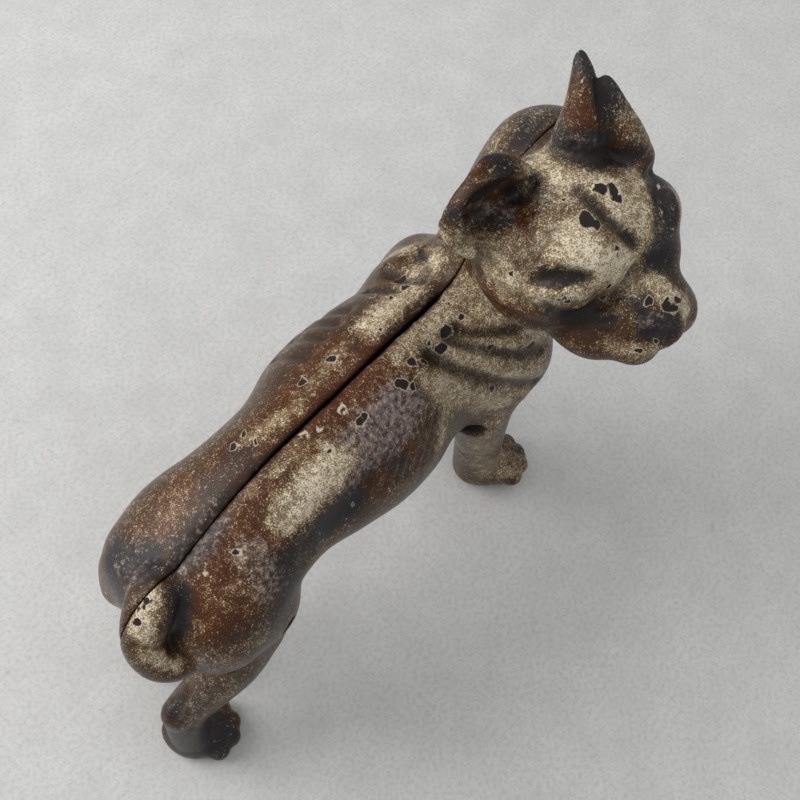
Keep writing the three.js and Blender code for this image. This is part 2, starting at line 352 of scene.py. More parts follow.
def face(clay):
    for side in (1, -1):
        head_ball(clay, (2 + side * 23, 14, -4), (15, 22, 17), 8)
    head_ball(clay, (20.5, 23, 12), (17.5, 14, 13), 6)
    head_ball(clay, (-17, 22, 13), (15, 13, 13), 6)
    head_ball(clay, (4, 36, -9), (20, 23, 11), 8)
    head_ball(clay, (5, 47.5, 2.5), (19, 16, 12), 4)
    head_ball(clay, (20, 34, 4), (12, 12, 12), 5)
    for side in (1, -1):
        head_ball(clay, (6.5 + side * 9.5, 53.5, -3), (11, 12, 10), 3.5)
    head_ball(clay, (4, 47, -13), (13, 14, 5.5), 3)
    head_ball(clay, (-8, 40, -12), (12, 14, 8), 6)
    head_ball(clay, (-9.5, 39, -8), (12, 14, 9.5), 8)
    head_ball(clay, (-11, 34, -11), (9, 11, 8), 6)
    head_ball(clay, (3.5, 61, 5.5), (8.5, 5.2, 5.2), 2.5, roll=-15)
    for side in (1, -1):
        head_ball(clay, (2 + side * 24.5, 28, 13.5), (6.5, 5.5, 5.5), 2)


def ears(clay):
    # right ear: a cup with a rolled rim, open towards the broad fold in front
    head_ball(clay, (-31, -12, 21), (16.5, 12, 16), 4, spin=20)
    head_ball(clay, (-21, -6.5, 13), (13, 13, 12), 6)
    head_ball(clay, (-29.5, -7.5, 27), (13.5, 6.5, 15), 1.5, spin=14, cut=True)
    head_ball(clay, (-18.5, -7.5, 25), (9, 5.5, 12), 1.5, cut=True)
    head_ball(clay, (-27, -4.5, 23.5), (13, 8, 8), 2.5, cut=True)
    clay.chain(on_head([
        (-12, -11.5, 26, 3.0), (-20, -17, 33.5, 2.6), (-29, -19.5, 35.5, 2.6), (-38, -18, 30.5, 2.5),
        (-44, -14, 23, 2.6), (-44, -8, 15, 2.8), (-39, -2.5, 10, 3),
    ]), 2)
    for lower, radius in ((4, 3.0), (9, 3.6)):
        clay.chain(on_head([
            (-13, -14, 28 - lower, radius), (-20, -18, 34 - lower, radius),
            (-29, -20, 35 - lower, radius), (-38, -18.5, 30 - lower, radius),
            (-43.5, -13.5, 22 - lower, radius),
        ]), 2)
    clay.chain(on_head([
        (-37, -9.5, 6, 4.5), (-30, -6.5, 8, 6), (-22.5, -1.5, 10, 7.5), (-13, 6, 9.5, 9),
    ]), 4)
    # left ear: an upright horn with a second lobe behind
    clay.chain(on_head([
        (13, -7, 20, 11.5), (17, -15.5, 32, 7.2), (20.5, -23.5, 40, 4.6), (22.5, -29.5, 44, 2.4),
    ]), 3)
    clay.chain(on_head([
        (29, 3, 17, 11), (28.5, -6, 28, 7.2), (27.5, -13.5, 36, 4.4), (27, -18, 39, 3),
    ]), 2)
    head_ball(clay, (40, -15, 34), (9, 13, 15), 3, spin=-10, cut=True)


# ---------------------------------------------------------------- marks
# A mark is a path of a few places. Two numbers are x and degrees round the trunk, from the spine
# towards the left. Three are a place near the skin. laid() fills the path in on the skin itself.
def fan(start, end, low):
    """A crease that fans out from beside the seam, down the right of the neck."""
    return [(start + (end - start) * t**1.3, -20 + (low + 20) * t) for t in (0, 0.25, 0.5, 0.75, 1)]


def creases():
    """(path, width, height) of each fold, furrow and roll; a height below 0 sinks the skin."""
    made = [
        (fan(start, end, low), 2.6, height)
        for start, end, low, height in (
            (55, 67, -30, 0.8), (51, 70, -39, -2.4), (49, 76, -51, 1.1), (45, 80, -65, -2.5),
            (41, 77, -74, 1.1), (34, 78, -90, -2.5), (28, 71, -95, 1),
        )
    ]
    made += [([(x, 68), (x, 52), (x + 2, 34)], 2.1, height) for x, height in (
        (28, -2.2), (20, -2.4), (11, -2), (0, -1.6),
    )]
    for i in range(5):
        made.append(([(19 + 3.3 * i, -45 - 3 * i), (14.5 + 3.4 * i, -51 - 3 * i)], 1.1, -1.2))
    for i in range(6):
        made.append(([(19 - 4.3 * i, -60 + 2.2 * i), (12 - 5.2 * i, -72 + 1.3 * i)], 1.2, -1.2))
    for i in range(3):
        made.append(([(-50 + 2.7 * i, -31), (-53.5 + 2.4 * i, -35), (-55 + 2.7 * i, -42)], 1, -0.7))
        made.append(([(-52 + 2.2 * i, -58), (-54 + 2.5 * i, -66), (-53.5 + 2.5 * i, -75)], 1.1, -0.9))
    return made + [
        # nape and back
        ([(57, 36), (55, 22), (58, 12)], 2, -2.8),
        ([(45, 37), (47, 25), (49, 18)], 1.8, -2.4),
        ([(71, 30), (67, 20), (61, 12)], 2.2, -1.2),
        ([(61, 42), (66, 37), (74, 36)], 3.5, 1),
        ([(-15, -49), (-27, -57), (-38, -66)], 7, -1.4),
        ([(10, -30), (-17, -32), (-44, -34)], 9, 0.8),
        ([(-72, -27), (-86, -33)], 9, 0.6),
        # brow and eyes
        ([(80, -29, 224), (80, -42, 220), (84, -54, 212)], 2.1, -4.4),
        ([(113, -40, 215), (103, -48, 217), (94, -56, 211)], 1.6, -1.4),
        ([(50, -37, 209), (56, -43, 214), (62, -50, 212)], 2.5, -4),
        ([(54, -43, 212), (58, -47, 213)], 3, -1.4),
        ([(50, -40, 207), (55, -48, 208), (60, -51, 208)], 3, 1.4),
        ([(53, -35, 212), (60, -42, 216), (65, -50, 213)], 3, 0.9),
        ([(105, -50, 216), (101, -57, 212)], 1.8, -1.6),
        ([(109, -52, 214), (105, -58, 209)], 3, 1),
        # cheek, jowl and lips
        ([(49, -22, 183), (47, -33, 187), (53, -46, 186)], 2.6, -1.5),
        ([(51, -13, 191), (48, -29, 196), (51, -44, 197)], 2.4, -1),
        ([(50, -43, 201), (60, -51, 190), (70, -59, 197), (82, -57, 204)], 2.2, -1.6),
        ([(54, -47, 190), (60, -53, 186), (66, -62, 193)], 1.9, -2.2),
        ([(68, -49, 214), (74, -54, 208), (76, -57, 200)], 4, 1.2),
        ([(56, -49, 182), (61, -58, 187), (65, -70, 190), (76, -83, 190)], 1.5, -1.6),
        ([(71, -75, 193), (78, -83, 192)], 1.3, -1.5),
        ([(60, -56, 184), (62, -62, 186), (64, -69, 189)], 1.2, -0.8),
        ([(64, -60, 190), (65, -66, 192), (67, -72, 192)], 1.2, -0.8),
        ([(74, -69, 198), (70, -73, 194), (73, -77, 193)], 1.4, -1.6),
        ([(84, -66, 201), (85, -72, 199), (84, -77, 196)], 4, 0.8),
        # ears
        ([(67, -30, 219), (56, -31, 213)], 2, -1.4),
        ([(91, -9, 221), (91, -19, 226), (100, -27, 223), (108, -34, 221)], 3, -2),
        ([(90, -19, 226), (96, -26, 225)], 5, -1.2),
        ([(107, -11, 242), (103, -18, 235), (101, -23, 229)], 1.6, -2),
        # tail
        ([(-101, 5, 142), (-95, 4, 143), (-92, -3, 142)], 1.4, -1.6),
        ([(-102, -14, 123), (-100, -13, 131), (-95, -10, 136)], 2.5, -0.8),
        ([(-114, -4, 131), (-112, -10, 129), (-105, -13, 124)], 1.6, -0.8),
        # right legs
        ([(93, -37, 14), (100, -44, 9)], 1.3, -1.2),
        ([(101, -37, 9), (104, -45, 7)], 1.1, -1),
        ([(88, -42, 13), (96, -49, 9)], 1.2, -1),
        ([(65, -28, 40), (64, -36, 50), (76, -41, 45)], 1.6, -0.7),
        ([(-99, -17, 60), (-104, -17, 51), (-110, -17, 46)], 1.6, -1.2),
        ([(-95, -26, 68), (-101, -25, 55), (-106, -24, 40)], 1.6, -1),
        ([(-97, -22, 66), (-103, -20, 54), (-109, -20, 42)], 2.4, 0.9),
    ]


# (path, radius, strength) of each patch of old paint and of dirt, with painted light among them: highlights
# in the cream, sheen in the grey, shade in the dark
PATCHES = {
    # cream: worn gold paint, and painted highlights along the lit crests of the back, loin and haunch
    "cream": [
        ([(67, 17), (26, 13)], 7, 0.9), ([(13, 17), (-20, 16), (-41, 22)], 4, 0.5),
        ([(-30, -5), (-57, 2)], 9, 0.35), ([(58, -7), (24, -9)], 6, 0.85),
        ([(61, -15), (65, -33), (76, -54)], 12, 0.68), ([(44, -27), (57, -52), (74, -78)], 11, 0.75),
        ([(27, -34), (43, -60), (60, -87)], 7, 0.7), ([(32, -54), (19, -68)], 5, 0.6),
        ([(-25, -28), (-51, -35)], 7, 0.95), ([(-74, 34), (-85, 40)], 10, 0.3),
        ([(-68, -27), (-75, -57)], 8, 0.3), ([(-82, -78), (-98, -78)], 9, 0.35),
        ([(68, 49), (71, 36)], 5, 0.6),
        ([(60, -38, 106), (59, -38, 76), (70, -37, 32)], 9, 0.42),
        ([(76, -40, 23), (95, -46, 11)], 9, 0.55), ([(-92, -29, 71), (-105, -22, 48)], 8, 0.3),
        ([(83, -13, 221), (84, -30, 224), (89, -51, 216)], 11, 0.85),
        ([(63, -35, 218), (68, -49, 214), (78, -56, 205)], 10, 1),
        ([(73, -12, 226), (70, -24, 221)], 6, 0.6), ([(50, -42, 205), (58, -51, 207)], 4, 0.8),
        ([(43, -12, 207), (50, -20, 198), (49, -39, 201)], 8, 0.75),
        ([(40, -7, 213), (52, -17, 205), (57, -24, 213)], 6, 0.55),
        ([(84, -65, 201), (88, -78, 194)], 5.5, 0.95), ([(63, -67, 186), (71, -79, 186)], 5, 0.55),
        ([(101, -38, 220), (95, -47, 218)], 6, 0.7), ([(110, -22, 235), (114, -31, 226)], 6, 0.45),
        ([(109, 11, 202), (98, 13, 196)], 9, 0.35), ([(112, -52, 212), (112, -57, 206)], 3.5, 0.6),
        ([(56, -50, 205), (70, -58, 196)], 5, 0.4), ([(53, -19, 207), (60, -25, 215)], 6, 0.35),
        ([(-101, -1, 143), (-111, -6, 136)], 5, 0.95),
        ([(-111, -6, 136), (-113, -10, 129), (-107, -18, 115)], 3.5, 0.75),
    ],
    "amber": [
        ([(22, -10), (-31, -11)], 7, 1), ([(12, 22), (-18, 25), (-49, 18)], 10, 0.6),
        ([(20, 3), (-22, 9)], 5, 0.8), ([(-65, -30), (-80, -34), (-92, -47)], 12, 0.9),
        ([(-69, 33), (-87, 35)], 10, 0.6), ([(-33, -55), (-1, -50)], 9, 0.7),
        ([(-47, -10), (-68, -13)], 8, 0.6), ([(61, -21), (70, -36)], 6, 0.7),
        ([(105, -8, 245), (97, -13, 236), (92, -17, 228)], 8, 1),
        ([(43, 0, 228), (51, -1, 234)], 4, 0.9), ([(67, -25, 219), (61, -28, 216)], 5, 0.9),
        ([(49, -20, 186), (48, -37, 191)], 7, 0.7), ([(58, -55, 184), (63, -68, 186)], 8, 0.5),
        ([(105, -29, 223), (107, -32, 223)], 4, 0.8), ([(60, -19, 213), (62, -26, 217)], 6, 0.9),
        ([(-110, -10, 133), (-110, -14, 123), (-106, -18, 115)], 4, 0.8),
    ],
    # dark: dark paint, and painted shade in hollows and creases
    "dark": [
        ([(-71, 3), (-86, 0)], 8, 0.6), ([(-4, -48), (-4, -64)], 6, 0.5),
        ([(-27, -59), (-42, -66)], 7, 0.6), ([(-57, -78), (-68, -83)], 7, 0.5),
        ([(70, 28), (61, 13)], 3, 0.7), ([(72, 71), (58, 61)], 6, 0.4),
        ([(-50, 12), (-64, 9)], 10, 0.4), ([(-8, -68), (8, -72)], 8, 0.3),
        ([(-91, -60), (-100, -72)], 8, 0.3), ([(-53, -58), (-65, -53)], 7, 0.4),
        # on the head: painted shade in the ear cups, in the hollow before the left ear and along the brow
        # furrows and lip creases
        ([(52, -4, 221), (58, -6, 225), (62, -10, 231)], 5, 0.9), ([(72, -10, 213)], 5, 0.9),
        ([(61, -2, 236)], 3.5, 0.9), ([(101, 22, 180)], 3.5, 0.9),
        ([(90, -11, 224), (92, -20, 227), (98, -25, 225)], 6, 1),
        ([(103, -30, 221), (109, -33, 223)], 5, 0.7), ([(110, -13, 241), (108, -19, 235)], 5, 0.8),
        ([(109, -2, 248), (107, -8, 245)], 4, 0.85),
        ([(113, -42, 213), (103, -51, 216), (93, -61, 202)], 6, 0.85),
        ([(51, -38, 210), (56, -44, 213), (62, -49, 212)], 2.6, 1),
        ([(52, -46, 206), (54, -49, 205)], 2.4, 0.7), ([(72, -72, 196), (77, -78, 194)], 4.5, 1),
        ([(76, -60, 200), (75, -67, 199)], 5, 0.6),
        ([(65, -60, 192), (60, -52, 190), (53, -46, 195)], 4, 0.7),
        ([(80, -31, 223), (80, -42, 220), (84, -54, 212)], 1.8, 1),
        ([(-93, 9, 139), (-98, 20, 127), (-102, 14, 120)], 10, 0.85),
        ([(-108, -25, 22), (-98, -27, 18)], 15, 0.8), ([(-94, -8, 139), (-101, -12, 129)], 5, 0.9),
        ([(119, 7, 202), (99, 6, 203)], 7, 0.6), ([(84, -6, 215), (70, -21, 221)], 4, 0.75),
        ([(-118, -9, 114)], 5, 0.8), ([(73, -41, 54)], 3, 0.8), ([(101, -42, 10)], 3, 0.8),
        ([(-96, -22, 67), (-106, -18, 49)], 8, 0.45), ([(41, -5, 225)], 5, 0.6),
        ([(53, -7, 210), (60, -14, 213)], 5, 0.6),
    ],
    # grey: flaky lavender paint, and a painted blue-grey sheen of the sky on the haunches, rump and flank
    "grey": [
        ([(12, -31), (-24, -34)], 9, 1), ([(53, 1), (33, -3)], 4, 0.5),
        ([(-68, -31), (-69, -56)], 7, 0.6), ([(-69, -2), (-83, -4)], 6, 0.5),
        ([(-87, 27), (-98, 30)], 10, 0.35), ([(53, -4, 216), (65, -14, 213)], 3.5, 0.6),
        ([(90, -17, 227), (94, -23, 227)], 4, 0.6), ([(71, -70, 196), (76, -74, 197)], 3, 0.5),
    ],
}
# a place and a radius
CHIPS = [
    (47, -17, 2.8), (40, -22, 2.4), (16, -22, 2.2), (30, -21, 1.4), (26, -17, 1.6), (58, -38, 1.4),
    (75, -53, 2.6), (55, 25, 2.6), (52, 16, 1.6), (6, 18, 1.8), (-8, 24, 1.7), (-44, 27, 1.6),
    (-7, -21, 1.8), (-28, -65, 1.2), (53, -64, 1.6), (86, -34, 223, 2.4), (90, -37, 222, 2.2),
    (88, -40, 222, 1.8), (74, -37, 221, 2.8), (75, -40, 220, 1.8), (80, -30, 223, 1.6),
    (82, -74, 198, 2.2), (87, -75, 197, 1.6), (78, -68, 199, 1.6), (52, -46, 207, 1.5),
    (54, -48, 205, 1.2), (50, -27, 203, 1.2), (70, -55, 203, 1.4), (77, -50, 215, 1.2),
    (71, -79, 190, 1.2), (67, -76, 187, 1.4), (-103, -2, 142, 1.6), (-110, -3, 138, 1.6),
    (-106, -2, 141, 1.2), (-71, -25, 1.1), (19, -26, 1.4), (74, -27, 222, 1), (56, -15, 1.3),
    (-38, 30, 1.2), (-39, 19, 0.8), (44, 16, 1.1), (42, 26, 1.2), (31, 15, 1), (21, 22, 0.8),
    (28, 6, 0.8), (-4, -20, 1.4), (-24, -19, 1.2), (-36, -18, 0.8), (37, -16, 0.9), (56, -7, 0.9),
    (69, -48, 1.2), (-83, -18, 0.9), (83, -76, 197, 1.8), (75, -53, 211, 1.2), (70, -55, 196, 1),
]
RINGS = [(-8, -7, 1.6), (-26, 0, 1.5), (-20, -4, 1), (76, -44, 1.2), (-71, -25, 1.3), (89, -26, 224, 1)]
SCRATCHES = [
    [(118, -38, 215), (101, -51, 216), (95, -58, 208)], [(40, -2, 223), (44, 1, 228), (56, 0, 236)],
    [(55, -2, 235), (66, -8, 232)], [(67, -9, 229), (74, -14, 215)],
    [(100, -10, 240), (104, -7, 244)], [(100, -14, 237), (102, -23, 228)],
    [(64, 36), (74, 34), (66, 24)], [(59, -3), (38, -1), (16, -2)],
]


def outward(clay, points):
    """The direction out of the skin at each point."""
    step = np.eye(3) * clay.pitch
    slope = np.stack([sample(clay, points + s) - sample(clay, points - s) for s in step], 1)
    return slope / np.maximum(np.linalg.norm(slope, axis=1, keepdims=True), 1e-6)


def round_trunk(clay, x, degrees):
    """The skin in each direction out of the trunk's own middle."""
    stations = np.array(TRUNK, float)
    turn = np.radians(degrees)
    out = np.stack([0 * turn, np.sin(turn), np.cos(turn)], 1)
    place = np.stack([x, along(stations, 4, x), along(stations, 1, x)], 1)
    for _ in range(20):
        place = place - out * sample(clay, place)[:, None]
    return place


def laid(clay, path, step=2.5):
    """A path filled in between its places and pulled on to the clay's skin."""
    path = np.array(path, float)
    if path.shape[1] == 2:
        path = round_trunk(clay, *path.T)
    if len(path) > 1:
        run = np.append(0, np.cumsum(np.linalg.norm(np.diff(path, axis=0), axis=1)))
        at = np.linspace(0, run[-1], int(run[-1] / step) + 2)
        path = np.stack([np.interp(at, run, path[:, i]) for i in range(3)], 1)
    for _ in range(5):
        path = path - outward(clay, path) * sample(clay, path)[:, None]
    return path



def folds(clay, smooth):
    clay.stroke([
        [-88, 0, 141], [-60, 0, 154], [-35, 0, 158], [0, 0, 156], [30, 0, 154], [60, 0, 150],
    ], 2.2, -1.3)
    for path, width, height in creases():
        clay.stroke(laid(smooth, path), width, height)


LOW, HIGH = [-128, -96, -4], [141, 58, 262]


def sculpt():
    """The whole dog, the dog without its face, the space inside, and the dog without folds."""
    body = Clay(LOW, HIGH, PITCH)
    trunk(body)
    skull(body)
    x, _, z = body.everywhere()
    hollow = body.field + WALL + CROWN_WALL * np.clip((z - CROWN_START) / CROWN_RAMP, 0, 1)
    ends = np.maximum(-ROOM_END - x, np.where(z < SLOT_BOTTOM, x - ROOM_END, -FAR))
    hollow = np.maximum(hollow, ends)
    shoulders(body)
    legs(body)
    tail(body)
    earless = Clay(LOW, HIGH, PITCH)
    earless.field = body.field.copy()
    face(body)
    ears(body)
    smooth = Clay(LOW, HIGH, PITCH)
    smooth.field = body.field.copy()
    folds(body, smooth)
    folds(earless, smooth)
    hollow = np.maximum(hollow, body.field + LEAST_WALL)
    return body, earless.field, hollow, smooth


def rod(clay, x, z, radius, y0, y1):
    px, py, pz = clay.everywhere()
    round_ = np.sqrt((px - x) ** 2 + (pz - z) ** 2) - radius
    return np.maximum(round_, np.maximum(y0 - py, py - y1))


def castings():
    body, earless, hollow, smooth = sculpt()
    x, y, z = body.everywhere()
    whole = np.maximum(body.field, -z)
    room = hollow
    for bx, bz, _ in SCREWS.values():
        room = np.maximum(room, -rod(body, bx, bz, BOSS_RADIUS, -FAR, FAR))
    px, pz, pr, reach = PIN
    room = np.maximum(room, -rod(body, px, pz, pr + 3, -FAR, FAR))
    solid = np.maximum(whole, -room)
    for bx, bz, seat in SCREWS.values():
        bore = rod(body, bx, bz, SCREW_RADIUS + SCREW_FIT, -70, THREAD_END + 1.5)
        pocket = rod(body, bx, bz, SCREW_HEAD_RADIUS + SCREW_FIT, -70, seat)
        solid = np.maximum(solid, -np.minimum(bore, pocket))
    wide = np.interp(x[:, 0, 0], SLOT_X, SLOT_WIDTHS)[:, None, None]
    half_slot = np.where(z > SLOT_BOTTOM, wide, PART_GAP) / 2
    face_plane = half_slot - np.abs(y)
    right = np.maximum(np.maximum(solid, face_plane), y)
    left = np.maximum(np.maximum(np.maximum(solid, face_plane), -y), earless)
    right = np.minimum(right, rod(body, px, pz, pr, -3, reach))
    left = np.maximum(left, -rod(body, px, pz, pr + SCREW_FIT, -1, reach + 1))
    made = {}
    for side, field in (("left", left), ("right", right)):
        vertices, quads = skin(field, body.low, PITCH)
        made[side] = vertices, quads, hollows(smooth, vertices)
    return made, smooth


def sample(clay, points):
    """The field at any points, read between the grid's own."""
    place = (points - clay.low) / clay.pitch
    first = np.clip(np.floor(place).astype(int), 0, np.array(clay.field.shape) - 2)
    part = np.clip(place - first, 0, 1)
    total = np.zeros(len(points))
    for corner in ((a, b, c) for a in (0, 1) for b in (0, 1) for c in (0, 1)):
        share = np.prod(np.where(corner, part, 1 - part), axis=1)
        total += share * clay.field[tuple((first + corner).T)]
    return total


def hollows(clay, points):
    """How sunk each point of the skin lies, 0 to 1: the paint is darkened there, as dirt and as painted
    shade.
    """
    normal = outward(clay, points)
    sunk = np.zeros(len(points))
    for reach, strength in ((2.0, 1.0), (4.5, 0.9), (9.0, 0.6)):
        away = sample(clay, points + normal * reach)
        sunk = np.maximum(sunk, strength * (1 - away / reach))
    return np.clip(sunk, 0, 1)


# ---------------------------------------------------------------- helpers
def mesh_object(name, vertices, quads, material):
    mesh = bpy.data.meshes.new(name)
    placed = (vertices + ORIGIN) * 0.001
    mesh.vertices.add(len(placed))
    mesh.vertices.foreach_set("co", placed.astype(np.float32).ravel())
    mesh.loops.add(quads.size)
    mesh.loops.foreach_set("vertex_index", quads.astype(np.int32).ravel())
    mesh.polygons.add(len(quads))
    mesh.polygons.foreach_set("loop_start", np.arange(0, quads.size, 4, dtype=np.int32))
    mesh.polygons.foreach_set("use_smooth", np.ones(len(quads), bool))
    mesh.update(calc_edges=True)
    mesh.validate()
    made = bpy.data.objects.new(name, mesh)
    bpy.context.scene.collection.objects.link(made)
    mesh.materials.append(material)
    return made


def screw(name, x, z, seat):
    """A cheese head with a driver slot, and a threaded shank, along y."""
    top = seat - PART_GAP - SCREW_HEAD_HEIGHT
    clay = Clay([x - 4.5, top - 1.2, z - 4.5], [x + 4.5, THREAD_END + 1, z + 4.5], SCREW_PITCH)
    px, py, pz = clay.everywhere()
    px, pz = px - x, pz - z
    out = np.sqrt(px**2 + pz**2) + 0 * py
    head = np.maximum(out - SCREW_HEAD_RADIUS, np.maximum(top - py, py - (seat - PART_GAP)))
    domed = np.sqrt(px**2 + (py - (top + 8)) ** 2 + pz**2) - 8
    head = np.maximum(head, domed)
    turn = (py / 1.1 - np.arctan2(pz, px) / (2 * np.pi)) % 1
    groove = 0.5 * np.abs(turn * 2 - 1) * (py > seat + 9)
    taper = np.maximum(py - (THREAD_END - 1.2), 0) * 0.8
    shank = np.maximum(out - SCREW_RADIUS + groove + taper, np.maximum(seat - 1 - py, py - THREAD_END))
    slot = np.maximum(np.abs(pz) - 0.6, py - (top + 1.1))
    clay.field = np.maximum(np.minimum(head, shank), -slot).astype(np.float32)
    vertices, quads = skin(clay.field, clay.low, SCREW_PITCH)
    return mesh_object(name, vertices, quads, steel())


def nodes_of(material):
    material.use_nodes = True
    tree = material.node_tree
    tree.nodes.clear()
    return tree


def steel():
    made = bpy.data.materials.get("dark_steel")
    if made:
        return made
    made = bpy.data.materials.new("dark_steel")
    tree = nodes_of(made)
    out = tree.nodes.new("ShaderNodeOutputMaterial")
    shader = tree.nodes.new("ShaderNodeBsdfPrincipled")
    shader.inputs["Base Color"].default_value = (0.11, 0.095, 0.08, 1)
    shader.inputs["Metallic"].default_value = 0.85
    shader.inputs["Roughness"].default_value = 0.42
    tree.links.new(shader.outputs[0], out.inputs[0])
    return made


def near_path(points, path):
    """Distance of each point from a path."""
    path = np.array(path, float)
    if len(path) == 1:
        return np.linalg.norm(points - path[0], axis=1)
    x, y, z = points.T
    gaps = [to_segment(x, y, z, p, q)[1] for p, q in zip(path[:-1], path[1:])]
    return np.min(gaps, axis=0)


def ragged(points, size, amount):
    """Points pushed about a little, so that painted edges come out uneven."""
    p = points / size
    wave = np.sin(p[:, [1, 2, 0]] * 1.7 + 1.3) + np.sin(p[:, [2, 0, 1]] * 3.1 + 4.1) * 0.6
    return points + amount * wave + amount * 0.5 * np.sin(p[:, [2, 0, 1]] * 7.3 + 2.0)


def same_side(points, left):
    """A mark low on one half doesn't reach across the seam to the other."""
    points = np.array(points, float)
    if points[:, 2].mean() > 175 or abs(points[:, 1].mean()) < 2:
        return True
    return (points[:, 1].mean() > 0) == left


def paint_marks(made, clay, clay_points, sunk, left):
    loose = ragged(clay_points, 4.0, 0.9)
    tight = ragged(clay_points, 1.7, 0.5)
    layers = {k: np.zeros(len(loose)) for k in ("cream", "amber", "grey", "dark", "chip", "rim")}
    for layer, patches in PATCHES.items():
        for path, radius, strength in patches:
            path = laid(clay, path, 6)
            if same_side(path, left):
                share = strength / (1 + (near_path(loose, path) / radius) ** 4)
                layers[layer] = np.maximum(layers[layer], share)
    for *place, radius in CHIPS:
        spot = laid(clay, [place])
        if same_side(spot, left):
            gap = near_path(tight, spot) - radius
            layers["chip"] = np.maximum(layers["chip"], np.clip(0.5 - gap / 3, 0, 1))
    edges = [(laid(clay, [place]), radius) for *place, radius in RINGS]
    edges += [(laid(clay, path, 5), 0) for path in SCRATCHES]
    for path, radius in edges:
        gap = np.abs(near_path(tight, path) - radius)
        layers["rim"] = np.maximum(layers["rim"], np.clip(1 - gap / 1.6, 0, 1))
    layers["sunk"] = sunk
    for name, keys in (
        ("tone", ("cream", "amber", "grey", "sunk")), ("dark_wear_and_shade", ("dark", "chip", "rim")),
    ):
        values = np.ones((len(loose), 4), np.float32)
        for i, key in enumerate(keys):
            values[:, i] = layers[key]
        attribute = made.data.color_attributes.new(name, "FLOAT_COLOR", "POINT")
        attribute.data.foreach_set("color", values.ravel())


class Nodes:
    """A few short words for building a shader."""

    def __init__(self, material):
        self.tree = nodes_of(material)

    def add(self, kind, inputs=None, **settings):
        node = self.tree.nodes.new(kind)
        for key, value in settings.items():
            setattr(node, key, value)
        for key, value in (inputs or {}).items():
            self.set(node.inputs[key], value)
        return node

    def set(self, socket, value):
        if isinstance(value, bpy.types.NodeSocket):
            self.tree.links.new(value, socket)
        else:
            socket.default_value = value

    def math(self, what, a, b=0.0, clamp=False):
        return self.add("ShaderNodeMath", {0: a, 1: b}, operation=what, use_clamp=clamp).outputs[0]

    def mix(self, share, a, b):
        node = self.add("ShaderNodeMix", {0: share, 6: a, 7: b}, data_type="RGBA")
        return node.outputs[2]

    def noise(self, where, scale, detail=2.0, rough=0.5):
        inputs = {"Vector": where, "Scale": scale, "Detail": detail, "Roughness": rough}
        return self.add("ShaderNodeTexNoise", inputs).outputs[0]

    def linear(self, value, gain, offset, clamp=False):
        node = self.add("ShaderNodeMath", {0: value, 1: gain, 2: offset}, operation="MULTIPLY_ADD")
        node.use_clamp = clamp
        return node.outputs[0]

    def broken(self, level, *noises):
        """A level roughened by (noise, amount) pairs."""
        for noise, amount in noises:
            level = self.math("ADD", level, self.linear(noise, amount, -amount / 2))
        return level


